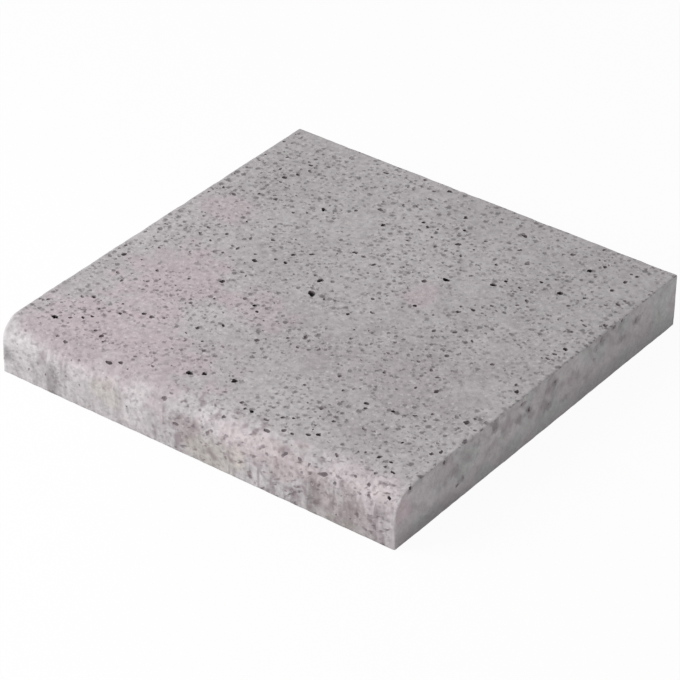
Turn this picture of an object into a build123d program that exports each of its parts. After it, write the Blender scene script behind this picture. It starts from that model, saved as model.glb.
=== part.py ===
from build123d import *

import os

# Pool coping stone: a square slab of cast concrete with one rounded edge, the nose, for the pool side.
# The origin is at the middle of the bed, which is the underside. X runs along the nose, Y from the nose
# to the back edge, and Z up. Sizes are in millimetres.

# Outer sizes of the stone
length = 400.0  # along the nose, from butt end to butt end
depth = 400.0  # from the face of the nose to the back edge
thickness = 50.0  # from the bed to the tread

# Rounding of the section and of the edges
nose_radius = 22.0  # quarter round from the tread down to the upright face of the nose
moulded_arris = 1.5  # softened edges around the tread, the ends and the back
bed_arris = 0.8  # crisper edges around the bed, the open side of the mould

os.makedirs("parts", exist_ok=True)

with BuildPart() as coping_stone:
    # Section across the nose, the same all along the stone
    with BuildSketch(Plane.YZ.offset(-length / 2)):
        with BuildLine():
            bed = Line((-depth / 2, 0), (depth / 2, 0))
            back = Line(bed @ 1, (depth / 2, thickness))
            tread = Line(back @ 1, (nose_radius - depth / 2, thickness))
            nose = TangentArc(tread @ 1, (-depth / 2, thickness - nose_radius), tangent=tread % 1)
            Line(nose @ 1, bed @ 0)
        make_face()
    extrude(amount=length)

    # Every edge is softened but the two seams where the nose runs smoothly into its neighbours
    bed_edges = faces().sort_by(Axis.Z)[0].edges()
    nose_seams = faces().filter_by(GeomType.CYLINDER).edges().filter_by(Axis.X)
    fillet(edges() - bed_edges - nose_seams, radius=moulded_arris)
    fillet(faces().sort_by(Axis.Z)[0].edges(), radius=bed_arris)

coping_stone.part.label = "coping_stone"
export_step(coping_stone.part, "parts/coping_stone.step")
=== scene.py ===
# %% [markdown]
# # A pool coping stone in cast concrete
#
# A coping stone lies on the rim of a pool. It is one square slab of concrete, cast in a mould, with a
# rounded edge, the nose, over the water. The slab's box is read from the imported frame, and the radii of its
# edges are those of the frame's solid. This lesson builds a finer mesh inside that box, cuts the air holes
# that every casting has, and then mixes the concrete out of shader nodes.

# %% Load the frame and keep its box
import math
import random

import bmesh
import bpy
from mathutils import Matrix, Quaternion, Vector, noise


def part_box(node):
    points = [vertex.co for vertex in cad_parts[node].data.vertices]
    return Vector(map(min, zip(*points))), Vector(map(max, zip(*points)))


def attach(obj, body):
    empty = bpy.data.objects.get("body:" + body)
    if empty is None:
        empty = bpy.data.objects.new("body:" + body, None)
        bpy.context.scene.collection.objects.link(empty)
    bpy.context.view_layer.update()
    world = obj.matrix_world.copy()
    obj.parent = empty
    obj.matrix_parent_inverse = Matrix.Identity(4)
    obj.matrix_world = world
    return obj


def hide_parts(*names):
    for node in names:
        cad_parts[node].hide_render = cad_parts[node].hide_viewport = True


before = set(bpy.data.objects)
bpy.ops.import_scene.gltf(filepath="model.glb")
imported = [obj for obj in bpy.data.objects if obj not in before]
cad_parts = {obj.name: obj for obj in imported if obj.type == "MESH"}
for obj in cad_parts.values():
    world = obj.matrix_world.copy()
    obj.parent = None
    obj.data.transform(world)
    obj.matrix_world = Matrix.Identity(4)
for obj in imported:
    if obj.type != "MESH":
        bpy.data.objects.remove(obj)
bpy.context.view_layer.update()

MM = 0.001
NODE = "coping_stone"
low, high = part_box(NODE)
middle = (low + high) / 2
size = high - low
print("stone box in mm:", [round(side / MM, 2) for side in size])

# %% [markdown]
# ## The block and its nose
#
# The stone starts as a cube stretched over the frame's box. The nose is the top edge at the pool side,
# rolled over in a quarter round. One could draw the section and extrude it, but a bevel of that single
# edge gives the same arc in one step, and its segments already run along the stone.

# %% Stretch a cube over the box and roll the nose
NOSE_RADIUS = 22 * MM
NOSE_SEGMENTS = 14
HAIR = 0.01 * MM


def edges_where(mesh, test):
    """Edges whose two ends both pass the test."""
    return [edge for edge in mesh.edges if all(test(vert.co) for vert in edge.verts)]


def soften(mesh, edges, radius, segments):
    """Rounds some edges to a radius."""
    bmesh.ops.bevel(
        mesh,
        geom=edges,
        offset=radius,
        segments=segments,
        profile=0.5,
        affect="EDGES",
        material=-1,
    )


stone = bmesh.new()
bmesh.ops.create_cube(stone, size=1.0, matrix=Matrix.Translation(middle) @ Matrix.Diagonal((*size, 1.0)))
nose_edge = edges_where(stone, lambda p: p.y < low.y + HAIR and p.z > high.z - HAIR)
soften(stone, nose_edge, NOSE_RADIUS, NOSE_SEGMENTS)
print("faces after the nose:", len(stone.faces))

# %% [markdown]
# ## The arrises
#
# A mason calls a sharp edge an arris. A mould can't fill a knife edge, so every arris is a little round.
# The edges that turn by more than sixty degrees are softened; the segments of the nose turn by only a few
# degrees each, so they are left alone. The rim of the bed, at the open side of the mould, stays crisper
# than the rest and is softened last, round the corners that the first step has made.

# %% Soften every sharp edge
ARRIS_RADIUS = 1.5 * MM
BED_ARRIS_RADIUS = 0.8 * MM
ARRIS_SEGMENTS = 3
SHARP = math.radians(60)


def bed_rim(mesh):
    """The edges around the bed."""
    return edges_where(mesh, lambda p: p.z < low.z + HAIR)


rim = bed_rim(stone)
arrises = [edge for edge in stone.edges if edge.calc_face_angle() > SHARP and edge not in rim]
print("arrises softened:", len(arrises), "edges, and the rim of the bed:", len(rim))
soften(stone, arrises, ARRIS_RADIUS, ARRIS_SEGMENTS)
soften(stone, bed_rim(stone), BED_ARRIS_RADIUS, ARRIS_SEGMENTS)

# %% [markdown]
# ## A grid to work on
#
# Six big faces can't carry any unevenness. Planes slice the block into a grid, as a cook slices a loaf:
# along the stone, across it and through its height. The nose keeps the rows that its bevel gave it, so the
# slices across it stop where the curve begins.

# %% Slice the block into a grid
GRID_STEP = 5 * MM
EDGE_ROW = 1.2 * MM


def slice_up(mesh, axis, start, stop):
    """Cuts the mesh at even steps between two places on an axis, with one more cut close to each."""
    normal = Vector((0, 0, 0))
    normal[axis] = 1.0
    count = max(1, round((stop - start) / GRID_STEP))
    places = [start + (stop - start) * step / count for step in range(1, count)]
    for place in [start + EDGE_ROW, stop - EDGE_ROW] + places:
        everything = mesh.verts[:] + mesh.edges[:] + mesh.faces[:]
        bmesh.ops.bisect_plane(mesh, geom=everything, dist=HAIR, plane_co=normal * place, plane_no=normal)


slice_up(stone, 0, low.x + ARRIS_RADIUS, high.x - ARRIS_RADIUS)
slice_up(stone, 1, low.y + NOSE_RADIUS, high.y - ARRIS_RADIUS)
slice_up(stone, 2, low.z + ARRIS_RADIUS, high.z - NOSE_RADIUS)
print("grid faces:", len(stone.faces))

# %% [markdown]
# ## Which face is which
#
# The stone shows three skins. The tread and the nose lay against the mould and are speckled and pitted.
# The ends and the back are smoother. The bed, underneath, was the open side of the mould and is rough.
# Each face of the mesh is given a material index from the way that it points.

# %% Sort the faces by skin
TREAD, SIDE, BED = range(3)
FACING = 0.75  # share of a unit normal that has to point one way


def skin_of(face):
    """The skin of a face, from its normal: the nose counts with the tread."""
    if face.normal.z < -FACING:
        return BED
    if abs(face.normal.x) > FACING or face.normal.y > FACING:
        return SIDE
    return TREAD


stone.normal_update()
for face in stone.faces:
    face.material_index = skin_of(face)
    face.smooth = True
print("faces by skin:", [sum(face.material_index == skin for face in stone.faces) for skin in range(3)])

# %% [markdown]
# ## An uneven casting
#
# No cast face is truly flat, and no arris is truly straight. Each vertex moves inwards along its normal by
# a few tenths of a millimetre, following smooth noise, so the mesh stays inside the frame's box. The rough
# bed moves more, but not at its rim, and so do the arrises, which wear first.

# %% Wear the surface inwards
FACE_WAVE = 0.25 * MM
FACE_SWELL = 45 * MM  # length of the waves
BED_WAVE = 0.9 * MM
BED_RIPPLE = 22 * MM
BED_SWELL = 70 * MM
BED_RIM = 14 * MM
ARRIS_WEAR = 1.8 * MM
WEAR_RIPPLE = 9 * MM
WEAR_SWELL = 50 * MM
SOUND = 0.45  # noise up to here leaves an arris whole


def from_rim(point):
    """How far a point lies inside the outline of the stone, seen from above."""
    return min(point.x - low.x, high.x - point.x, point.y - low.y, high.y - point.y)


def wave(point, length):
    """Smooth noise between 0 and 1, with bumps of about the given length."""
    return 0.5 + 0.5 * max(-1.0, min(1.0, 1.6 * noise.noise(point / length)))


def arris_share(vert):
    """How much a vertex belongs to an arris: 1 in the middle of the rounding, 0 on a flat face."""
    flatness = max(abs(vert.normal.x), math.hypot(vert.normal.y, vert.normal.z))
    flatness = min(flatness, max(abs(vert.normal.z), math.hypot(vert.normal.x, vert.normal.y)))
    return max(0.0, min(1.0, (1.0 - flatness) / 0.12))


moves = {}
for vert in stone.verts:
    depth = FACE_WAVE * wave(vert.co, FACE_SWELL)
    if vert.normal.z < -FACING:
        inside = min(1.0, from_rim(vert.co) / BED_RIM)
        depth += BED_WAVE * inside * wave(vert.co, BED_RIPPLE) * wave(vert.co, BED_SWELL)
    worn = max(0.0, wave(vert.co, WEAR_RIPPLE) - SOUND) * wave(vert.co, WEAR_SWELL)
    depth += ARRIS_WEAR * worn * arris_share(vert)
    moves[vert] = vert.normal * depth
for vert, step in moves.items():
    vert.co -= step
print("deepest wear in mm:", round(max(step.length for step in moves.values()) / MM, 2))

# %% [markdown]
# ## Air holes
#
# Bubbles that were trapped against the mould leave pits. They could be painted, but a real hole has a rim
# that catches the light and a wall in shade, so each one is cut. The holes that stand out on the tread, the
# nose and the right end are listed one by one, each with its own size and turn: a random draw would never put
# two large ones side by side near the middle.

# %% Place the pits that stand out
# Large pits of the tread: place along X and Y, length, width, all in millimetres, and turn in degrees.
# They are all as hollow for their width.
LARGE_HOLLOW = 0.6
LARGE_PITS = [
    (-24, -12, 8.0, 5.6, -50),
    (-31, 9, 6.6, 4.8, 80),
    (51, 74, 7.0, 5.4, -15),
    (87, 92, 5.6, 5.0, 0),
    (92, 103, 4.0, 3.6, 0),
    (138, 116, 6.0, 5.2, 40),
    (138, 159, 5.6, 4.6, -30),
    (64, 172, 7.2, 4.0, -10),
    (145, 172, 4.2, 3.6, 0),
    (-169, -168, 7.6, 5.4, -30),
    (-30, -165, 7.0, 5.4, 0),
    (-20, -158, 6.0, 4.4, -40),
    (5, -151, 5.6, 5.2, 60),
    (-150, -155, 4.6, 3.2, -20),
    (-145, -149, 4.0, 3.4, 0),
    (-130, -132, 4.2, 3.0, 0),
    (42, -176, 4.6, 4.0, 0),
    (97, -174, 4.4, 4.0, 0),
    (158, -164, 5.0, 3.8, 40),
    (178, -174, 4.8, 3.0, -20),
    (-98, 101, 7.4, 3.6, -45),
    (-42, 112, 4.8, 4.6, 0),
    (-34, 62, 5.0, 4.2, 0),
    (-91, 184, 5.0, 3.6, 20),
    (-151, 154, 5.0, 3.2, 10),
    (-151, 134, 4.6, 4.0, 0),
    (-50, -55, 4.6, 4.0, -30),
    (-43, -61, 4.0, 3.4, -30),
    (-52, -94, 5.0, 3.0, -50),
    (188, 48, 5.4, 3.6, -40),
    (107, -112, 4.6, 4.0, 0),
    (110, -118, 3.6, 3.4, 0),
    (130, -108, 4.0, 3.6, 0),
    (103, -169, 4.6, 4.6, 30),
    (169, -164, 4.2, 3.6, 0),
    (-101, 35, 4.4, 3.6, 0),
    (-73, 27, 5.0, 3.6, 20),
    (-71, 13, 4.6, 3.6, -40),
    (18, -18, 4.4, 3.8, -20),
    (-114, -120, 4.6, 4.0, 0),
    (-163, -126, 4.0, 3.4, 0),
    (96, 50, 4.4, 3.8, 0),
    (54, 26, 4.4, 4.2, 0),
    (-17, 137, 4.2, 3.8, 0),
    (-10, 133, 4.4, 3.2, -30),
    (18, 148, 4.0, 3.6, 0),
    (116, 120, 4.0, 3.4, 0),
]

# Pits of the nose: place along X, way up the skin from the bed, length, width, turn, and how hollow they
# are for their width
NOSE_PITS = [
    (-182, 15, 3.0, 2.2, 0, 0.15),
    (-180, 47, 3.6, 2.6, 0, 0.2),
    (-171, 14, 3.8, 2.4, 60, 0.15),
    (-152, 49, 3.2, 2.4, 0, 0.15),
    (-150, 54, 4.0, 3.0, 20, 0.25),
    (-140, 52, 4.4, 2.8, 0, 0.25),
    (-136, 47, 3.4, 2.6, 0, 0.15),
    (-93, 51, 7.4, 3.0, 0, 0.4),
    (-84, 55, 4.6, 3.2, 0, 0.4),
    (-31, 43, 5.6, 3.6, 40, 0.2),
    (-27, 49, 4.0, 2.6, 0, 0.2),
    (-15, 26, 6.6, 3.2, 10, 0.2),
    (-4, 33, 7.0, 3.8, 30, 0.14),
    (4, 46, 4.0, 2.6, 0, 0.2),
    (10, 19, 3.4, 2.4, 0, 0.15),
    (20, 34, 4.8, 3.0, 0, 0.15),
    (26, 49, 4.4, 2.8, 0, 0.25),
    (34, 18, 3.4, 2.4, 0, 0.15),
    (35, 36, 3.8, 2.6, 0, 0.15),
    (48, 33, 4.4, 3.0, 60, 0.15),
    (66, 53, 8.0, 2.4, 0, 0.25),
    (73, 18, 3.6, 2.6, 0, 0.15),
    (75, 36, 4.6, 2.8, -30, 0.15),
    (78, 60, 4.6, 2.8, 60, 0.3),
    (86, 60, 4.4, 2.8, -20, 0.3),
    (90, 42, 7.6, 4.4, 70, 0.2),
    (94, 10, 4.0, 2.6, 0, 0.15),
    (105, 43, 4.8, 3.0, -20, 0.2),
    (110, 16, 3.4, 2.4, 0, 0.15),
    (110, 34, 4.0, 2.6, 0, 0.15),
    (114, 42, 4.0, 2.6, 90, 0.2),
    (120, 29, 4.6, 3.0, 90, 0.15),
    (129, 40, 11.0, 4.0, 15, 0.2),
    (130, 59, 5.2, 2.8, -30, 0.3),
    (141, 37, 4.6, 3.0, -40, 0.2),
    (141, 43, 5.0, 2.6, -20, 0.15),
    (151, 16, 3.4, 2.6, 0, 0.15),
    (155, 49, 4.0, 2.8, 0, 0.2),
    (164, 38, 3.8, 2.8, 0, 0.2),
    (169, 47, 4.6, 3.4, -30, 0.2),
    (168, 58, 3.8, 3.0, 0, 0.2),
    (171, 8, 6.4, 3.4, -20, 0.15),
    (173, 39, 4.8, 2.8, -30, 0.2),
    (178, 21, 4.0, 2.6, 0, 0.15),
    (182, 53, 3.8, 3.0, 0, 0.2),
    (186, 12, 3.8, 2.6, 0, 0.15),
    (188, 26, 5.0, 3.2, -30, 0.14),
    (190, 44, 4.2, 3.0, -20, 0.45),
]

# Pits of the right end: place along Y, height, then as on the nose
END_PITS = [
    (-181, 49, 4.4, 3.2, 60, 0.3),
    (-137, 48, 4.6, 3.4, 70, 0.2),
    (-124, 30, 4.4, 3.0, 0, 0.1),
    (-119, 35, 3.6, 2.8, 80, 0.1),
    (-118, 15, 5.2, 2.8, 20, 0.2),
    (-111, 19, 3.4, 3.0, 0, 0.15),
    (-69, 40, 5.4, 3.2, 90, 0.15),
    (-67, 49, 6.4, 2.6, 0, 0.2),
    (-39, 32, 4.6, 2.8, 0, 0.12),
    (-30, 44, 8.0, 2.4, 0, 0.15),
    (-20, 33, 4.2, 3.6, 90, 0.25),
    (-20, 26, 4.4, 3.0, 90, 0.1),
    (4, 37, 4.2, 3.4, 90, 0.12),
    (8, 22, 6.4, 3.6, 60, 0.1),
    (17, 40, 4.4, 3.2, 60, 0.25),
    (34, 15, 5.0, 3.0, 0, 0.1),
    (74, 31, 4.0, 2.6, 0, 0.1),
    (77, 39, 4.6, 3.2, 60, 0.1),
    (83, 45, 6.0, 3.2, 80, 0.2),
    (102, 48, 4.6, 2.8, 10, 0.2),
    (114, 48, 4.2, 3.0, 20, 0.25),
    (116, 30, 5.2, 2.8, 10, 0.15),
    (136, 37, 4.6, 3.8, 90, 0.15),
]
print("pits placed by hand:", len(LARGE_PITS) + len(NOSE_PITS) + len(END_PITS))

# %% [markdown]
# ## Smaller pits
#
# Hundreds of smaller holes lie between them. A seeded draw scatters these, so that every run gives the same
# stone, and each new one keeps clear of those before it. The hearts of some closed patches of the tread get
# none. The upper arrises get shallow ones: there a pit reads as a chip, and it breaks the straight line.

# %% Say how many smaller pits there are, and where they keep away
# Skin, how many, smallest and largest size in millimetres, and how hollow they are for their width
SCATTERED_PITS = [
    ("tread", 230, 3.2, 5.6, 0.29),
    ("tread", 90, 2.0, 3.0, 0.4),
    ("nose", 30, 1.8, 3.0, 0.25),
    ("left end", 30, 1.8, 5.0, 0.2),
    ("back", 34, 1.8, 5.0, 0.2),
    ("bed", 150, 2.0, 7.0, 0.5),
    ("upper arris", 120, 2.0, 5.6, 0.2),
]

# Closed, smooth patches of the tread: place along X and Y, then reach of both in millimetres
SMOOTH_PATCHES = [
    ((-12, -36), (26, 20)),
    ((80, 76), (30, 18)),
    ((170, -52), (34, 26)),
    ((36, -100), (26, 22)),
    ((26, -146), (22, 26)),
    ((-130, -106), (28, 14)),
    ((-146, -40), (26, 14)),
    ((-108, -146), (30, 14)),
    ((150, 12), (22, 18)),
    ((-36, -102), (16, 14)),
    ((52, 6), (18, 14)),
]
print("pits to scatter:", sum(row[1] for row in SCATTERED_PITS), "and smooth patches:", len(SMOOTH_PATCHES))

# %% Scatter the smaller pits
PIT_SEED = 14
PIT_ROOM = 0.62  # least distance between two pits, for the sum of their lengths
PATCH_HEART = 0.8  # share of a smooth patch's reach
BED_INSET = 0.94  # share of the bed that gets pits
NOSE_SPAN = 0.08, 0.97  # lowest and highest pit of the nose, as shares of the way up
UP = Vector((0, 0, 1))
FRONT = Vector((0, -1, 0))
NOSE_UPRIGHT = size.z - NOSE_RADIUS
NOSE_RUN = NOSE_UPRIGHT + NOSE_RADIUS * math.pi / 2
draw = random.Random(PIT_SEED)


def nose_point(x, run):
    """A point of the nose with its normal, from its place along X and its way up the skin from the bed."""
    if run < NOSE_UPRIGHT:
        return Vector((x, low.y, low.z + run)), FRONT.copy()
    turn = (run - NOSE_UPRIGHT) / NOSE_RADIUS
    normal = Vector((0, -math.cos(turn), math.sin(turn)))
    centre = Vector((x, low.y + NOSE_RADIUS, high.z - NOSE_RADIUS))
    return centre + normal * NOSE_RADIUS, normal


def random_place(skin):
    """A random point of a skin, with its outward normal."""
    x = draw.uniform(low.x, high.x)
    y = draw.uniform(low.y + NOSE_RADIUS, high.y)
    if skin == "tread":
        return Vector((x, y, high.z)), UP.copy()
    if skin == "bed":
        return Vector((BED_INSET * x, BED_INSET * draw.uniform(low.y, high.y), low.z)), -UP
    if skin == "nose":
        return nose_point(x, NOSE_RUN * draw.uniform(*NOSE_SPAN))
    if skin == "upper arris":
        return draw.choice([
            (Vector((low.x, y, high.z)), Vector((-1, 0, 1)).normalized()),
            (Vector((high.x, y, high.z)), Vector((1, 0, 1)).normalized()),
            (Vector((x, high.y, high.z)), Vector((0, 1, 1)).normalized()),
        ])
    # The power brings more of these pits near the tread
    z = high.z - 0.9 * size.z * draw.random() ** 1.4
    if skin == "back":
        return Vector((x, high.y, z)), -FRONT
    return Vector((low.x, y, z)), Vector((-1, 0, 0))


def is_smooth(place):
    """Whether a place lies in the heart of a smooth patch of the tread."""
    for (x, y), (wide, deep) in SMOOTH_PATCHES:
        if math.hypot((place.x / MM - x) / wide, (place.y / MM - y) / deep) < PATCH_HEART:
            return place.z > high.z - HAIR
    return False


pits = []
for x, y, length, width, turn in LARGE_PITS:
    place = Vector((x * MM, y * MM, high.z))
    pits.append((place, UP, length * MM, width * MM, math.radians(turn), LARGE_HOLLOW))
for x, run, length, width, turn, hollow in NOSE_PITS:
    place, normal = nose_point(x * MM, run * MM)
    pits.append((place, normal, length * MM, width * MM, math.radians(turn), hollow))
for y, z, length, width, turn, hollow in END_PITS:
    place = Vector((high.x, y * MM, z * MM))
    pits.append((place, Vector((1, 0, 0)), length * MM, width * MM, math.radians(turn), hollow))
for skin, count, smallest, largest, hollow in SCATTERED_PITS:
    wanted = len(pits) + count
    while len(pits) < wanted:
        place, normal = random_place(skin)
        length = MM * (smallest + (largest - smallest) * draw.random() ** 2)
        width = length * draw.uniform(0.5, 0.95)
        clear = all((place - other[0]).length > PIT_ROOM * (length + other[2]) for other in pits)
        if clear and not is_smooth(place):
            pits.append((place, normal, length, width, draw.uniform(0, math.pi), hollow))
print("pits in all:", len(pits))

# %% [markdown]
# ## Cutters
#
# A trapped bubble is round until the mix settles on it. Each cutter is an icosphere, stretched to the pit's
# length and width, flattened to its depth, sunk a little below the surface and dented by noise. Two round
# meshes, a plain and a fine one, are made once and copied, which is quicker than a new sphere for each pit.

# %% Model the pit cutters
FINE_PIT = 4.6 * MM  # pits longer than this get the fine mesh
PLAIN, FINE = 2, 3  # subdivisions of the two meshes
DENT = 0.5  # how far noise pushes the wall, for its distance from the middle


def bubble(detail):
    """A round bubble of radius 1, kept as a mesh to copy from."""
    ball = bmesh.new()
    bmesh.ops.create_icosphere(ball, subdivisions=detail, radius=1.0)
    data = bpy.data.meshes.new(f"bubble_{detail}")
    ball.to_mesh(data)
    ball.free()
    return data


BUBBLES = {detail: bubble(detail) for detail in (PLAIN, FINE)}


def add_cutter(mesh, place, normal, length, width, turn, hollow):
    """One squashed, noisy bubble, its middle a little below the surface."""
    detail = FINE if length > FINE_PIT else PLAIN
    depth = width * hollow * draw.uniform(0.8, 1.2)
    sunk = depth * draw.uniform(0.1, 0.45)
    facing = normal.to_track_quat("Z", "Y") @ Quaternion((0, 0, 1), turn)
    in_place = Matrix.LocRotScale(place - normal * sunk, facing, (length / 2, width / 2, depth))
    first = len(mesh.verts)
    mesh.from_mesh(BUBBLES[detail])
    mesh.verts.ensure_lookup_table()
    for vert in mesh.verts[first:]:
        arm = in_place.to_3x3() @ vert.co
        spot = in_place.translation + arm
        push = noise.noise(spot / (0.5 * length)) + 0.5 * noise.noise(spot / (0.22 * length))
        vert.co = in_place.translation + arm * (1.0 + DENT * push)


cutter = bmesh.new()
for pit in pits:
    add_cutter(cutter, *pit)
for data in BUBBLES.values():
    bpy.data.meshes.remove(data)
print("cutter faces:", len(cutter.faces))

# %% [markdown]
# ## Node helpers
#
# Concrete is mixed out of a few procedural textures. These helpers keep the node trees readable: a value
# may be a number or another node's socket, and each helper hands back the socket that it made.

# %% Helpers that wire nodes together
def shade(red, green, blue):
    """A colour given as screen values from 0 to 255, as the linear colour that nodes work in."""
    shares = [value / 255 for value in (red, green, blue)]
    return (*[v / 12.92 if v < 0.04045 else ((v + 0.055) / 1.055) ** 2.4 for v in shares], 1.0)


def feed(tree, socket, value):
    """Links a socket to a socket, or sets it to a plain value."""
    if isinstance(value, bpy.types.NodeSocket):
        tree.links.new(value, socket)
    else:
        socket.default_value = value


def add(tree, kind, inputs, **settings):
    """Adds a node, sets it up, feeds its inputs by name or number, and hands back its outputs."""
    node = tree.nodes.new("ShaderNode" + kind)
    for name, value in settings.items():
        setattr(node, name, value)
    for name, value in inputs.items():
        feed(tree, node.inputs[name], value)
    return node.outputs


def maths(tree, operation, first, second=0.0):
    """Arithmetic with plain values."""
    return add(tree, "Math", {0: first, 1: second}, operation=operation)[0]


def ease(tree, value, start, stop):
    """0 at start and 1 at stop, with soft ends."""
    inputs = {"Value": value, "From Min": start, "From Max": stop}
    return add(tree, "MapRange", inputs, interpolation_type="SMOOTHSTEP")["Result"]


def between(tree, value, least, most):
    """Turns 0 to 1 into least to most."""
    return add(tree, "MapRange", {"Value": value, "To Min": least, "To Max": most})["Result"]


def lay_over(tree, cover, under, over, mode="MIX"):
    """Lays one colour over another, as far as cover says. A Mix node's colours are its sockets 6 and 7."""
    return add(tree, "Mix", {0: cover, 6: under, 7: over}, data_type="RGBA", blend_type=mode)[2]


def move(tree, operation, first, second=(0, 0, 0)):
    """Arithmetic with vectors."""
    outputs = add(tree, "VectorMath", {0: first, 1: second}, operation=operation)
    return outputs["Value" if operation == "LENGTH" else "Vector"]


def cloud(tree, place, length, detail=2.0, output="Fac"):
    """Soft noise with bumps of about the given length."""
    return add(tree, "TexNoise", {"Vector": place, "Scale": 1.0 / length, "Detail": detail})[output]


def new_group(name, vectors, values, results):
    """An empty node group with named sockets: its tree, what comes in and what goes out."""
    tree = bpy.data.node_groups.new(name, "ShaderNodeTree")
    for title in vectors + values:
        kind = "NodeSocketVector" if title in vectors else "NodeSocketFloat"
        tree.interface.new_socket(title, in_out="INPUT", socket_type=kind)
    for title in results:
        tree.interface.new_socket(title, in_out="OUTPUT", socket_type="NodeSocketFloat")
    return tree, tree.nodes.new("NodeGroupInput").outputs, tree.nodes.new("NodeGroupOutput").inputs


def use_group(tree, group, **values):
    """Places a group in a material and feeds its inputs."""
    return add(tree, "Group", values, node_tree=group)


def new_material(name):
    """A material with its Principled shader: its tree, the shader's inputs and Object coordinates."""
    material = bpy.data.materials.new(name)
    material.use_nodes = True
    tree = material.node_tree
    shader = tree.nodes["Principled BSDF"].inputs
    place = tree.nodes.new("ShaderNodeTexCoord").outputs["Object"]
    return material, tree, shader, place


def emboss(tree, shader, height, depth):
    """Raises the surface by a height map, through a bump node."""
    bump = add(tree, "Bump", {"Strength": 1.0, "Distance": depth, "Height": height})
    tree.links.new(bump["Normal"], shader["Normal"])


print("node helpers ready")

# %% [markdown]
# ## Specks
#
# Sand grains and tiny blowholes freckle the tread and nose. A Voronoi texture scatters one point in every
# cell of a grid. Each point draws its own random numbers: one says whether it shows, and another how large
# it is. Noise bends the grid first, so that no speck is a perfect disc. A grid in space would be cut at
# random heights, which leaves most specks tiny, so this one is flat and is fed the unrolled skin.

# %% Group: scattered specks
BEND = 3.2 * MM
BEND_LENGTH = 2.2 * MM

SPECKS, given, out = new_group("scattered_specks", ["Vector"], ["Spacing", "Size", "Share"], ["Mask"])
bend = cloud(SPECKS, given["Vector"], BEND_LENGTH, 1.0, "Color")
bend = move(SPECKS, "SUBTRACT", bend, (0.5, 0.5, 0.5))
bend = move(SPECKS, "MULTIPLY", bend, (BEND, BEND, BEND))
bent = move(SPECKS, "ADD", given["Vector"], bend)
scale = maths(SPECKS, "DIVIDE", 1.0, given["Spacing"])
cells = add(SPECKS, "TexVoronoi", {"Vector": bent, "Scale": scale}, voronoi_dimensions="2D")
draws = add(SPECKS, "SeparateColor", {0: cells["Color"]})
shows = maths(SPECKS, "LESS_THAN", draws[0], given["Share"])
mostly_small = maths(SPECKS, "POWER", draws[1], 2.0)
radius = maths(SPECKS, "MULTIPLY", given["Size"], between(SPECKS, mostly_small, 0.42, 0.98))
disc = ease(SPECKS, cells["Distance"], radius, maths(SPECKS, "MULTIPLY", radius, 0.35))
SPECKS.links.new(maths(SPECKS, "MULTIPLY", disc, shows), out["Mask"])
print("group:", SPECKS.name)

# %% [markdown]
# ## Clouds
#
# Cement dries unevenly, so the grey drifts from place to place. One group gives five sizes of drift, from
# a hand's breadth down to a grain of sand, so that the tread, the ends and the bed share the same casting.

# %% Group: cement clouds
CLOUDS, given, out = new_group("cement_clouds", ["Vector"], [], ["Broad", "Fine", "Mottle", "Grit", "Sand"])
place = given["Vector"]
CLOUDS.links.new(ease(CLOUDS, cloud(CLOUDS, place, 75 * MM, 3.0), 0.3, 0.7), out["Broad"])
CLOUDS.links.new(ease(CLOUDS, cloud(CLOUDS, place, 14 * MM, 3.0), 0.25, 0.75), out["Fine"])
CLOUDS.links.new(ease(CLOUDS, cloud(CLOUDS, place, 4.4 * MM, 2.0), 0.25, 0.75), out["Mottle"])
CLOUDS.links.new(cloud(CLOUDS, place, 1.5 * MM, 3.0), out["Grit"])
CLOUDS.links.new(cloud(CLOUDS, place, 0.6 * MM, 2.0), out["Sand"])
print("group:", CLOUDS.name)

# %% [markdown]
# ## Stains
#
# A faint blush of iron in the sand colours some patches. A stain is a soft blot: its centre and its reach
# are given in metres, and noise frays its border, coarsely for a wide stain and finely for a small one.

# %% Group: soft stain
STAIN, given, out = new_group("soft_stain", ["Vector", "Centre", "Reach"], ["Fray"], ["Mask"])
away = move(STAIN, "SUBTRACT", given["Vector"], given["Centre"])
away = move(STAIN, "DIVIDE", away, given["Reach"])
ragged = cloud(STAIN, move(STAIN, "DIVIDE", given["Vector"], given["Fray"]), 1.0, 3.0)
ragged = maths(STAIN, "MULTIPLY", maths(STAIN, "SUBTRACT", ragged, 0.5), 1.6)
far = maths(STAIN, "ADD", move(STAIN, "LENGTH", away), ragged)
STAIN.links.new(ease(STAIN, far, 1.1, 0.35), out["Mask"])
print("group:", STAIN.name)

# %% [markdown]
# ## Pores
#
# Between the specks the skin is open: weak, irregular dark marks with no clear outline. Where smooth noise
# falls below a level, there is a pore. A higher level gives more of them, and the level itself can drift,
# so that some patches are closed and smooth.

# %% Group: open pores
PORES, given, out = new_group("open_pores", ["Vector"], ["Length", "Level", "Soft"], ["Mask"])
scaled = move(PORES, "DIVIDE", given["Vector"], given["Length"])
bottom = maths(PORES, "SUBTRACT", given["Level"], given["Soft"])
PORES.links.new(ease(PORES, cloud(PORES, scaled, 1.0, 1.0), given["Level"], bottom), out["Mask"])
print("group:", PORES.name)

# %% [markdown]
# ## Run marks
#
# Water ran down the nose while the cement was young and left upright streaks, pale with lime or dark with
# dirt. The noise for them is stretched along Y and Z, so that a streak follows the round over the edge.

# %% Group: run marks
RUNS, given, out = new_group("run_marks", ["Vector"], ["Width"], ["Mask"])
stretched = move(RUNS, "MULTIPLY", given["Vector"], (1.0, 0.16, 0.16))
scaled = move(RUNS, "DIVIDE", stretched, given["Width"])
RUNS.links.new(cloud(RUNS, scaled, 1.0, 2.0), out["Mask"])
print("group:", RUNS.name)

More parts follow.
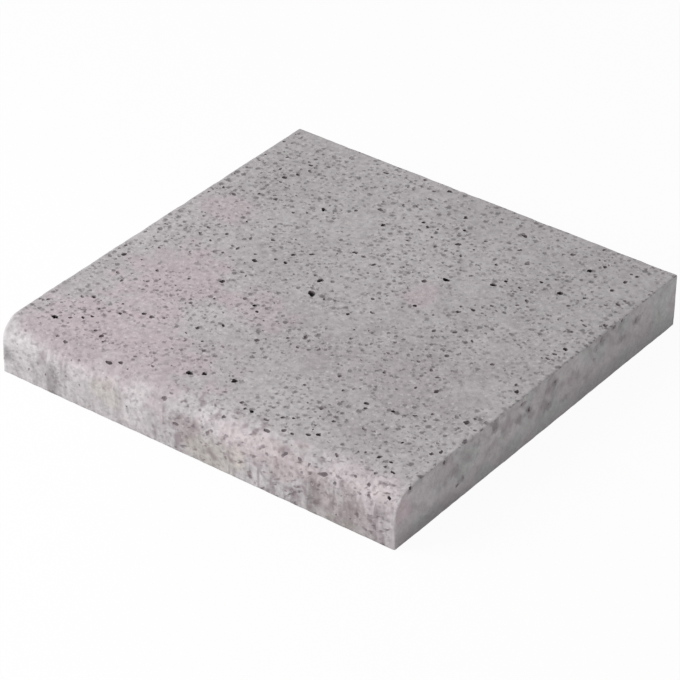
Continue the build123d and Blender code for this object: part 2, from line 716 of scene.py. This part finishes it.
# %% [markdown]
# ## Finishes in layers
#
# A finish is built up as a painter glazes: thin layers of colour, each let through by a mask. These helpers
# make the masks, join them and lay the colour down. They take their lengths in millimetres.

# %% Helpers that mask and glaze
def part_of(tree, mask, share):
    """A mask turned down, by a share of its strength or by another mask."""
    return maths(tree, "MULTIPLY", mask, share)


def glaze(tree, colour, mask, strength, paint):
    """Lays a thin coat of paint over a colour where a mask lets it through."""
    return lay_over(tree, part_of(tree, mask, strength), colour, shade(*paint))


def toned(tree, colour, mask, least, most):
    """A colour made darker or lighter by a factor, from least to most as a mask goes from 0 to 1."""
    return lay_over(tree, 1.0, colour, between(tree, mask, least, most), "MULTIPLY")


def along(tree, place, axis):
    """One coordinate of a place."""
    return add(tree, "SeparateXYZ", {0: place})[axis]


def slanted(tree, place, turns, stretch):
    """A place turned by degrees about X, Y and Z and stretched, so that a texture on it runs aslant."""
    turns = [math.radians(turn) for turn in turns]
    inputs = {"Vector": place, "Rotation": turns, "Scale": stretch}
    return add(tree, "Mapping", inputs, vector_type="TEXTURE")[0]


def stain_mask(tree, place, centre, reach, fray=20):
    """Where one stain lies, and how finely it frays."""
    centre = tuple(value * MM for value in centre)
    reach = tuple(value * MM for value in reach)
    return use_group(tree, STAIN, Vector=place, Centre=centre, Reach=reach, Fray=fray * MM)["Mask"]


def pore_mask(tree, place, length, level, soft):
    """Where pores of about this length lie."""
    return use_group(tree, PORES, Vector=place, Length=length * MM, Level=level, Soft=soft)["Mask"]


def speck_mask(tree, sheet, spacing, radius, share):
    """Where specks lie: their spacing, largest radius for that spacing, and the share that shows."""
    return use_group(tree, SPECKS, Vector=sheet, Spacing=spacing * MM, Size=radius, Share=share)["Mask"]


def run_mask(tree, place, width, start, stop):
    """Where runs of about this width lie, from none at the noise called start to full at stop."""
    return ease(tree, use_group(tree, RUNS, Vector=place, Width=width * MM)["Mask"], start, stop)


def dress(tree, shader, colour, roughness, specular):
    """Hands the finished colour to the shader and says how the skin takes the light."""
    tree.links.new(colour, shader["Base Color"])
    feed(tree, shader["Roughness"], roughness)
    shader["Specular IOR Level"].default_value = specular


print("finish helpers ready")

# %% [markdown]
# ## The ground of the moulded skin
#
# The tread and the nose lay against the same mould, so they share one material. Under its marks it is warm
# grey with drifting clouds, and iron in the sand gives some patches a pink or mauve blush. Noise could
# place the blush too, but most of it lies in the half towards the nose, so each patch has its place.

# %% Ground: warm grey with its blush
# Blush on the tread: place along X and Y, reach of both in millimetres, colour and strength
PINK = (190, 174, 179)
MAUVE = (158, 148, 152)
BLUSH = [
    ((90, -70), (120, 66), MAUVE, 0.4),
    ((160, 10), (60, 44), MAUVE, 0.25),
    ((-165, 50), (34, 30), PINK, 0.5),
    ((-125, -70), (60, 76), PINK, 0.6),
    ((-105, -165), (120, 56), PINK, 0.65),
    ((-45, -60), (40, 32), PINK, 0.45),
    ((50, 40), (20, 24), PINK, 0.5),
    ((125, -142), (44, 26), MAUVE, 0.35),
    ((170, -192), (70, 22), (204, 191, 195), 0.45),
]


def moulded_ground(tree, place, clouds):
    """Clouded grey with its blush."""
    colour = lay_over(tree, clouds["Broad"], shade(179, 175, 176), shade(190, 186, 187))
    colour = glaze(tree, colour, clouds["Fine"], 0.5, (173, 168, 170))
    for (x, y), (wide, deep), tint, strength in BLUSH:
        mask = stain_mask(tree, place, (x, y, high.z / MM), (wide, deep, 200))
        colour = glaze(tree, colour, mask, strength, tint)
    return colour


print("blush patches:", len(BLUSH))

# %% [markdown]
# ## The tones of the nose
#
# The nose hangs over the water and shows more weather than the tread: a pale bloom of lime in wide runs,
# dirt in narrow runs on its upright face, and stains of its own. Along the top of the round, some of these
# stains are painted highlight and painted shade. A mask along Y lets them in.

# %% Nose: lime, dirt and stains
# Stains of the nose, some of them painted highlight or shade on the round: place along X and height, reach of
# both in millimetres, colour and strength
NOSE_STAINS_AND_PAINTED_LIGHT = [
    ((-120, 12), (110, 28), (182, 179, 180), 0.65),
    ((80, 34), (74, 18), (186, 171, 174), 0.55),
    ((-196, 19), (12, 9), (126, 123, 126), 0.6),
    # Painted shade: a dark band over the top of the round at the left.
    ((-122, 47), (82, 10), (164, 154, 158), 0.75),
    ((-182, 33), (28, 12), (206, 204, 205), 0.4),
    ((-146, 16), (8, 26), (132, 128, 129), 0.65),
    ((-88, 26), (20, 16), (188, 182, 175), 0.5),
    ((-60, 28), (14, 24), (206, 202, 203), 0.45),
    ((-6, 28), (24, 16), (146, 131, 134), 0.6),
    ((20, 12), (36, 18), (176, 171, 163), 0.6),
    ((46, 18), (8, 16), (206, 198, 188), 0.45),
    # Painted highlight: a pale band along the round.
    ((42, 40), (52, 9), (210, 199, 202), 0.4),
    ((-30, 47), (20, 10), (168, 160, 163), 0.45),
    ((30, 49), (26, 8), (172, 166, 168), 0.4),
    # Painted highlight: a pale band along the round at the right.
    ((174, 42), (40, 10), (212, 200, 203), 0.4),
    ((120, 14), (9, 24), (126, 119, 119), 0.65),
    ((147, 16), (34, 28), (150, 139, 138), 0.5),
    ((150, 3), (50, 9), (158, 154, 152), 0.5),
]


def nose_tones(tree, place, nose, colour):
    """Lime, dirt, stains and some painted highlight and shade over a colour, on the nose only."""
    bloom = part_of(tree, run_mask(tree, place, 26, 0.45, 0.64), nose)
    colour = glaze(tree, colour, bloom, 0.32, (212, 206, 208))
    upright = ease(tree, along(tree, place, "Z"), high.z - 5 * MM, high.z - 20 * MM)
    dirt = part_of(tree, run_mask(tree, place, 7, 0.5, 0.68), part_of(tree, nose, upright))
    colour = glaze(tree, colour, dirt, 0.7, (138, 128, 131))
    for (x, z), (wide, tall), tint, strength in NOSE_STAINS_AND_PAINTED_LIGHT:
        mask = stain_mask(tree, place, (x, low.y / MM, z), (wide, 40, tall))
        colour = glaze(tree, colour, part_of(tree, mask, nose), strength, tint)
    return colour


print("stains of the nose:", len(NOSE_STAINS_AND_PAINTED_LIGHT))

# %% [markdown]
# ## Freckles
#
# The skin is open in some places and closed in others, so pores and dark specks come and go in drifts, and
# the smooth patches that the pits avoid have few. There are four kinds of freckle: pores, and pale, dull
# and dark specks. All are weaker on the nose. The specks lie on the tread and the nose as one flat sheet.

# %% Where the freckles lie
def open_skin_mask(tree, place):
    """1 where the skin is open, and near 0 where it is closed and smooth."""
    mask = ease(tree, cloud(tree, place, 30 * MM, 2.0), 0.3, 0.52)
    for (x, y), (wide, deep) in SMOOTH_PATCHES:
        patch = stain_mask(tree, place, (x, y, high.z / MM), (wide, deep, 200))
        mask = part_of(tree, mask, between(tree, patch, 1.0, 0.1))
    return mask


def unrolled(tree, place):
    """The tread and the nose laid out flat: X stays, and the way down the nose goes on where Y ends."""
    down = maths(tree, "ADD", along(tree, place, "Y"), along(tree, place, "Z"))
    return add(tree, "CombineXYZ", {"X": along(tree, place, "X"), "Y": down})[0]


def freckles(tree, place, nose, open_skin):
    """The masks of the pores and of the pale, the dull and the dark specks."""
    sheet = unrolled(tree, place)
    pores = pore_mask(tree, place, 3.8, between(tree, open_skin, 0.31, 0.42), 0.14)
    pale = speck_mask(tree, sheet, 5.0, 0.42, 0.38)
    dull = part_of(tree, speck_mask(tree, sheet, 5.8, 0.5, 0.66), between(tree, open_skin, 0.2, 1.0))
    dark = part_of(tree, speck_mask(tree, sheet, 8.2, 0.42, 0.5), between(tree, open_skin, 0.15, 1.0))
    masks = [(pores, 0.5), (pale, 0.6), (dull, 0.5), (dark, 0.4)]
    return [part_of(tree, mask, between(tree, nose, 1.0, left)) for mask, left in masks]


print("smooth patches with few freckles:", len(SMOOTH_PATCHES))

# %% [markdown]
# ## The moulded skin
#
# Now the layers go on in turn: the ground, the tones of the nose and the grain of the sand, then the marks
# and the freckles. The marks are soft blots and short slanting ones, only on the nose, and fainter at its
# left. Last, a painted highlight runs down both ends of the nose, along the arrises. Bumps follow the sand
# and sink at pores and dark specks.

# %% Material: moulded skin of the tread and the nose
def nose_marks(tree, place, nose, open_skin, colour):
    """Blots and slanting marks over a colour, on the nose only."""
    busy = between(tree, ease(tree, along(tree, place, "X"), -80 * MM, 10 * MM), 0.35, 1.0)
    busy = part_of(tree, busy, nose)
    blots = part_of(tree, pore_mask(tree, place, 9, 0.5, 0.28), busy)
    colour = glaze(tree, colour, blots, 0.75, (132, 118, 122))
    rising = slanted(tree, place, (0, -28, 0), (2.0, 1.0, 1.0))
    marks = part_of(tree, pore_mask(tree, rising, 3.6, 0.43, 0.2), busy)
    marks = part_of(tree, marks, between(tree, open_skin, 0.2, 1.0))
    return glaze(tree, colour, marks, 0.85, (108, 96, 99))


def moulded_skin():
    material, tree, shader, place = new_material("moulded_concrete")
    clouds = use_group(tree, CLOUDS, Vector=place)
    nose = ease(tree, along(tree, place, "Y"), low.y + 30 * MM, low.y + 12 * MM)
    open_skin = open_skin_mask(tree, place)
    colour = moulded_ground(tree, place, clouds)
    colour = nose_tones(tree, place, nose, colour)
    colour = toned(tree, colour, clouds["Mottle"], 0.88, 1.12)
    colour = toned(tree, colour, clouds["Grit"], 0.93, 1.07)
    colour = toned(tree, colour, clouds["Sand"], 0.86, 1.14)
    colour = nose_marks(tree, place, nose, open_skin, colour)
    pores, pale, dull, dark = freckles(tree, place, nose, open_skin)
    colour = glaze(tree, colour, pores, 0.35, (118, 112, 115))
    colour = glaze(tree, colour, pale, 0.45, (214, 210, 211))
    colour = glaze(tree, colour, dull, 0.56, (112, 105, 108))
    colour = glaze(tree, colour, dark, 0.64, (86, 80, 83))
    # Painted highlight: a pale strip down the vertical arrises at both ends of the nose.
    from_middle = maths(tree, "ABSOLUTE", along(tree, place, "X"))
    arris_highlight = ease(tree, from_middle, size.x / 2 - 3.4 * MM, size.x / 2 - 0.6 * MM)
    colour = glaze(tree, colour, part_of(tree, arris_highlight, nose), 0.5, (214, 208, 210))
    dress(tree, shader, colour, between(tree, clouds["Fine"], 0.78, 0.92), 0.3)
    height = maths(tree, "SUBTRACT", part_of(tree, clouds["Grit"], 0.5), dark)
    height = maths(tree, "SUBTRACT", height, part_of(tree, pores, 0.5))
    height = maths(tree, "ADD", height, part_of(tree, clouds["Sand"], 0.35))
    emboss(tree, shader, height, 0.5 * MM)
    return material


moulded_concrete = moulded_skin()
print("material:", moulded_concrete.name)

# %% [markdown]
# ## The ends and the back
#
# The smoother sides of the mould left a closed skin with hardly a speck. Its grey is cooler in places. Soft
# smudges, small blots and slanting streaks show on it, stronger near the tread.

# %% Sides: ground and smudges
def side_ground(tree, place, clouds):
    """Clouded grey, cooler in places."""
    colour = lay_over(tree, clouds["Broad"], shade(190, 184, 186), shade(203, 198, 199))
    colour = glaze(tree, colour, clouds["Fine"], 0.5, (177, 171, 173))
    return glaze(tree, colour, pore_mask(tree, place, 32, 0.54, 0.16), 0.75, (183, 186, 184))


def side_smudges(tree, place, height, colour):
    """Smudges, blots and streaks over a colour, stronger near the tread."""
    upper = ease(tree, height, low.z + 8 * MM, low.z + 34 * MM)
    smudge = part_of(tree, pore_mask(tree, place, 21, 0.48, 0.2), between(tree, upper, 0.35, 1.0))
    colour = glaze(tree, colour, smudge, 0.55, (148, 135, 139))
    blot = part_of(tree, pore_mask(tree, place, 7, 0.42, 0.18), between(tree, upper, 0.2, 1.0))
    colour = glaze(tree, colour, blot, 0.35, (122, 111, 114))
    falling = slanted(tree, place, (-42, 0, 0), (1.0, 3.0, 1.0))
    streak = part_of(tree, pore_mask(tree, falling, 10, 0.5, 0.2), between(tree, upper, 0.6, 1.0))
    return glaze(tree, colour, streak, 0.5, (150, 143, 145))


print("layers of the sides ready")

# %% [markdown]
# ## The right end
#
# The right end faces the viewer, so its larger tones and its dark smudges get their places one by one, as its
# pits do. The corner at the nose takes some of the blush.

# %% Right end: tones and smudges
# Tones of the right end: place along Y and height, reach of both in millimetres, colour and strength
END_TONES = [
    ((-194, 40), (16, 26), (206, 188, 193), 0.6),
    ((-200, 3), (120, 14), (152, 145, 147), 0.55),
    ((-148, 40), (36, 14), (200, 193, 196), 0.5),
    ((30, 45), (18, 12), (204, 197, 199), 0.6),
    ((150, 46), (22, 10), (204, 198, 200), 0.45),
    ((200, 36), (44, 30), (202, 198, 199), 0.4),
    ((110, 6), (80, 12), (166, 166, 166), 0.4),
]

# Smudges on the right end: place along Y and height, reach of both in millimetres, and strength
END_SMUDGES = [
    ((-181, 47), (5, 4), 0.8),
    ((-136, 47), (5, 4), 0.6),
    ((-122, 31), (8, 5), 0.55),
    ((-114, 17), (8, 4), 0.75),
    ((-69, 41), (6, 6), 0.8),
    ((-66, 48), (5, 3), 0.7),
    ((-34, 31), (7, 5), 0.55),
    ((-30, 43), (10, 3), 0.6),
    ((-20, 33), (6, 6), 0.8),
    ((-15, 26), (6, 5), 0.6),
    ((5, 37), (6, 5), 0.5),
    ((7, 21), (8, 6), 0.7),
    ((16, 40), (6, 5), 0.85),
    ((32, 16), (9, 4), 0.5),
    ((65, 21), (8, 4), 0.45),
    ((75, 41), (6, 4), 0.55),
    ((84, 43), (6, 6), 0.8),
    ((102, 48), (6, 3), 0.65),
    ((114, 46), (6, 4), 0.65),
    ((115, 29), (9, 4), 0.55),
    ((137, 37), (10, 5), 0.8),
]


def end_stains(tree, place, colour):
    """Tones and smudges over a colour, at the right end."""
    for (y, z), (wide, tall), tint, strength in END_TONES:
        mask = stain_mask(tree, place, (high.x / MM, y, z), (60, wide, tall))
        colour = glaze(tree, colour, mask, strength, tint)
    for (y, z), (wide, tall), strength in END_SMUDGES:
        mask = stain_mask(tree, place, (high.x / MM, y, z), (30, wide, tall), 4)
        colour = glaze(tree, colour, mask, 0.6 * strength, (118, 108, 111))
    return colour


print("tones of the right end:", len(END_TONES), "and smudges:", len(END_SMUDGES))

# %% [markdown]
# ## The skin of the sides
#
# The ground, the smudges and the stains go on in turn. Over them lies a darker band along the bed,
# painted shade where the stone meets the floor, and then the grain of the sand.

# %% Material: smoother skin of the ends and the back
def side_skin():
    material, tree, shader, place = new_material("side_concrete")
    clouds = use_group(tree, CLOUDS, Vector=place)
    height = along(tree, place, "Z")
    colour = side_ground(tree, place, clouds)
    colour = side_smudges(tree, place, height, colour)
    colour = end_stains(tree, place, colour)
    # Painted shade: the ends and the back darken towards the bed.
    bed_shade = ease(tree, height, low.z + 26 * MM, low.z + 1 * MM)
    colour = glaze(tree, colour, bed_shade, 0.45, (152, 148, 150))
    colour = toned(tree, colour, clouds["Mottle"], 0.92, 1.08)
    colour = toned(tree, colour, clouds["Grit"], 0.9, 1.1)
    colour = toned(tree, colour, clouds["Sand"], 0.76, 1.24)
    dress(tree, shader, colour, between(tree, clouds["Fine"], 0.75, 0.9), 0.3)
    grain = maths(tree, "ADD", clouds["Grit"], part_of(tree, clouds["Sand"], 0.6))
    emboss(tree, shader, grain, 0.45 * MM)
    return material


side_concrete = side_skin()
print("material:", side_concrete.name)

# %% [markdown]
# ## The bed
#
# The bed was struck off by hand while it was wet. It is duller, coarser and more porous than the rest, so
# its bumps are deeper, and mortar will grip it.

# %% Material: rough bed
def bed_skin():
    material, tree, shader, place = new_material("bed_concrete")
    clouds = use_group(tree, CLOUDS, Vector=place)
    colour = lay_over(tree, clouds["Broad"], shade(152, 147, 148), shade(174, 169, 169))
    colour = glaze(tree, colour, clouds["Fine"], 0.6, (140, 135, 137))
    colour = toned(tree, colour, clouds["Mottle"], 0.8, 1.15)
    pores = pore_mask(tree, place, 3.6, 0.4, 0.1)
    colour = glaze(tree, colour, pores, 0.55, (92, 88, 90))
    dress(tree, shader, colour, between(tree, clouds["Fine"], 0.85, 0.97), 0.2)
    rough = maths(tree, "SUBTRACT", maths(tree, "ADD", clouds["Grit"], clouds["Mottle"]), pores)
    emboss(tree, shader, rough, 1.0 * MM)
    return material


bed_concrete = bed_skin()
print("material:", bed_concrete.name)

# %% [markdown]
# ## The pit walls
#
# A hole is as pale as the skin at its rim and nearly black at its bottom. The dark is partly dirt and
# partly painted shade, for the light that cannot get in. The mesh will carry an attribute that says how deep
# each vertex lies below the true surface, and the wall darkens along it.

# %% Material: pit walls
DEPTH = "depth_below_skin"


def pit_skin():
    material, tree, shader, place = new_material("pit_wall")
    grit = use_group(tree, CLOUDS, Vector=place)["Grit"]
    depth = add(tree, "Attribute", {}, attribute_name=DEPTH)["Fac"]
    # Painted shade and dirt: the wall darkens with depth, to near black at the bottom.
    wall = ease(tree, depth, 0.1 * MM, 0.9 * MM)
    deep = ease(tree, depth, 0.8 * MM, 2.6 * MM)
    colour = lay_over(tree, wall, shade(178, 169, 172), shade(114, 106, 109))
    colour = lay_over(tree, deep, colour, shade(48, 44, 46))
    colour = toned(tree, colour, grit, 0.7, 1.3)
    dress(tree, shader, colour, 0.95, 0.15)
    emboss(tree, shader, grit, 0.4 * MM)
    return material


pit_wall = pit_skin()
print("material:", pit_wall.name)

# %% [markdown]
# ## Cutting
#
# One Boolean takes all the cutters away from the stone at once. The cutters carry the pit material, and the
# cut surface keeps it, so the walls of the holes need no sorting afterwards. The shading is then smooth
# everywhere but at the rims, which stay sharp.

# %% Cut the pits out of the stone
SMOOTH_TURN = math.radians(40)


def new_object(name, mesh, materials):
    """Turns a bmesh into a scene object with its materials."""
    data = bpy.data.meshes.new(name)
    mesh.to_mesh(data)
    mesh.free()
    for material in materials:
        data.materials.append(material)
    thing = bpy.data.objects.new(name, data)
    bpy.context.scene.collection.objects.link(thing)
    return thing


cast_stone = new_object("cast_stone", stone, [moulded_concrete, side_concrete, bed_concrete])
pit_cutter = new_object("pit_cutter", cutter, [pit_wall])
cut = cast_stone.modifiers.new("air holes", "BOOLEAN")
cut.operation = "DIFFERENCE"
cut.solver = "MANIFOLD"
cut.material_mode = "TRANSFER"
cut.object = pit_cutter
depsgraph = bpy.context.evaluated_depsgraph_get()
pitted = bpy.data.meshes.new_from_object(cast_stone.evaluated_get(depsgraph))
cast_stone.modifiers.clear()
cast_stone.data = pitted
bpy.data.objects.remove(pit_cutter)
pitted.shade_smooth()
pitted.set_sharp_from_angle(angle=SMOOTH_TURN)
pitted.calc_loop_triangles()
print("triangles in the stone:", len(pitted.loop_triangles), [m.name for m in pitted.materials])


# %% [markdown]
# ## Depth of the pits
#
# The pit material needs to know how deep each point lies. The true shape is a box with one rounded edge, so
# the distance to its nearest face is simple arithmetic. It is stored on the mesh as an attribute.

# %% Note how deep each vertex lies
def depth_below(point):
    """Distance from a point inside the stone to the nearest true face."""
    sides = [point.x - low.x, high.x - point.x, high.y - point.y, point.z - low.z]
    over = Vector((0, point.y - low.y - NOSE_RADIUS, point.z - high.z + NOSE_RADIUS))
    if over.y < 0 and over.z > 0:
        return min(sides + [NOSE_RADIUS - over.length])
    return min(sides + [point.y - low.y, high.z - point.z])


depths = pitted.attributes.new(DEPTH, "FLOAT", "POINT")
depths.data.foreach_set("value", [depth_below(vert.co) for vert in pitted.vertices])
print("deepest pit in mm:", round(max(item.value for item in depths.data) / MM, 2))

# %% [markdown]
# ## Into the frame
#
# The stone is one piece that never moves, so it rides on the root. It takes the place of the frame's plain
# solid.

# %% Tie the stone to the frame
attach(cast_stone, "root")
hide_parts(NODE)
print("tied to the frame:", cast_stone.name, "for", NODE)

# %% [markdown]
# ## The floor
#
# The stone lies on pale paper that runs off to white. The camera sees the paper almost as plain white, but
# it still takes a faint shadow and throws soft light back at the sides, as a real sheet would.

# %% Lay the floor
FLOOR_REACH = 4.0
PAPER = 0.86
SEEN_WHITE = 0.94  # how far the camera sees plain white in place of the paper


def floor_finish():
    material = bpy.data.materials.new("pale_floor")
    material.use_nodes = True
    tree = material.node_tree
    tree.nodes.remove(tree.nodes["Principled BSDF"])
    paper = add(tree, "BsdfDiffuse", {"Color": (PAPER, PAPER, PAPER, 1.0)})[0]
    white = add(tree, "Emission", {})[0]
    rays = add(tree, "LightPath", {})
    seen = maths(tree, "MAXIMUM", rays["Is Camera Ray"], rays["Is Glossy Ray"])
    seen = maths(tree, "MAXIMUM", seen, rays["Is Transmission Ray"])
    mix = add(tree, "MixShader", {0: part_of(tree, seen, SEEN_WHITE), 1: paper, 2: white})[0]
    tree.links.new(mix, tree.nodes["Material Output"].inputs["Surface"])
    return material


ground = bmesh.new()
bmesh.ops.create_grid(ground, x_segments=1, y_segments=1, size=FLOOR_REACH)
floor = new_object("floor", ground, [floor_finish()])
print("floor side in m:", 2 * FLOOR_REACH)

# %% [markdown]
# ## Light
#
# The stone is lit softly from the front left: the nose is the brightest face and the right end the darkest,
# with no hard shadow. A white sky gives the soft part, and one wide lamp makes the faces differ.

# %% Light the stone
SKY_STRENGTH = 0.55
KEY_TURN = -42
KEY_RISE = 34
KEY_DISTANCE = 1.5
KEY_SIDE = 0.9
KEY_POWER = 16.0

world = bpy.data.worlds.new("studio")
world.use_nodes = True
bpy.context.scene.world = world
sky = world.node_tree.nodes["Background"].inputs
sky["Color"].default_value = (1, 1, 1, 1)
sky["Strength"].default_value = SKY_STRENGTH


def direction(azimuth, elevation):
    """Unit vector towards a place, by its angle round the stone and above the floor, in degrees."""
    turn, rise = math.radians(azimuth), math.radians(elevation)
    return Vector((math.sin(turn) * math.cos(rise), -math.cos(turn) * math.cos(rise), math.sin(rise)))


key = bpy.data.lights.new("key", "AREA")
key.size = KEY_SIDE
key.energy = KEY_POWER
lamp = bpy.data.objects.new("key", key)
bpy.context.scene.collection.objects.link(lamp)
lamp.location = middle + direction(KEY_TURN, KEY_RISE) * KEY_DISTANCE
lamp.rotation_mode = "QUATERNION"
lamp.rotation_quaternion = direction(KEY_TURN, KEY_RISE).to_track_quat("Z", "Y")
print("lamp in W:", KEY_POWER)

# %% [markdown]
# ## Camera
#
# A long lens, far away, keeps the far edges nearly parallel to the near ones. The angles were fitted to the
# corners of the stone in the picture, which also gave the slight roll.

# %% Aim the camera
CAMERA_TURN = 36.64
CAMERA_RISE = 33.57
CAMERA_ROLL = math.radians(0.667)
CAMERA_DISTANCE = 2.7005
AIM = Vector((13.61, -22.55, 24.96)) * MM
LENS = 173.48

camera_data = bpy.data.cameras.new("camera")
camera_data.lens = LENS
camera_data.sensor_width = 36.0
camera = bpy.data.objects.new("camera", camera_data)
bpy.context.scene.collection.objects.link(camera)
camera.location = AIM + direction(CAMERA_TURN, CAMERA_RISE) * CAMERA_DISTANCE
camera.rotation_mode = "QUATERNION"
camera.rotation_quaternion = (
    direction(CAMERA_TURN, CAMERA_RISE).to_track_quat("Z", "Y") @ Quaternion((0, 0, 1), CAMERA_ROLL)
)
bpy.context.scene.camera = camera
bpy.context.scene.view_settings.view_transform = "Standard"
print("lens in mm:", LENS)
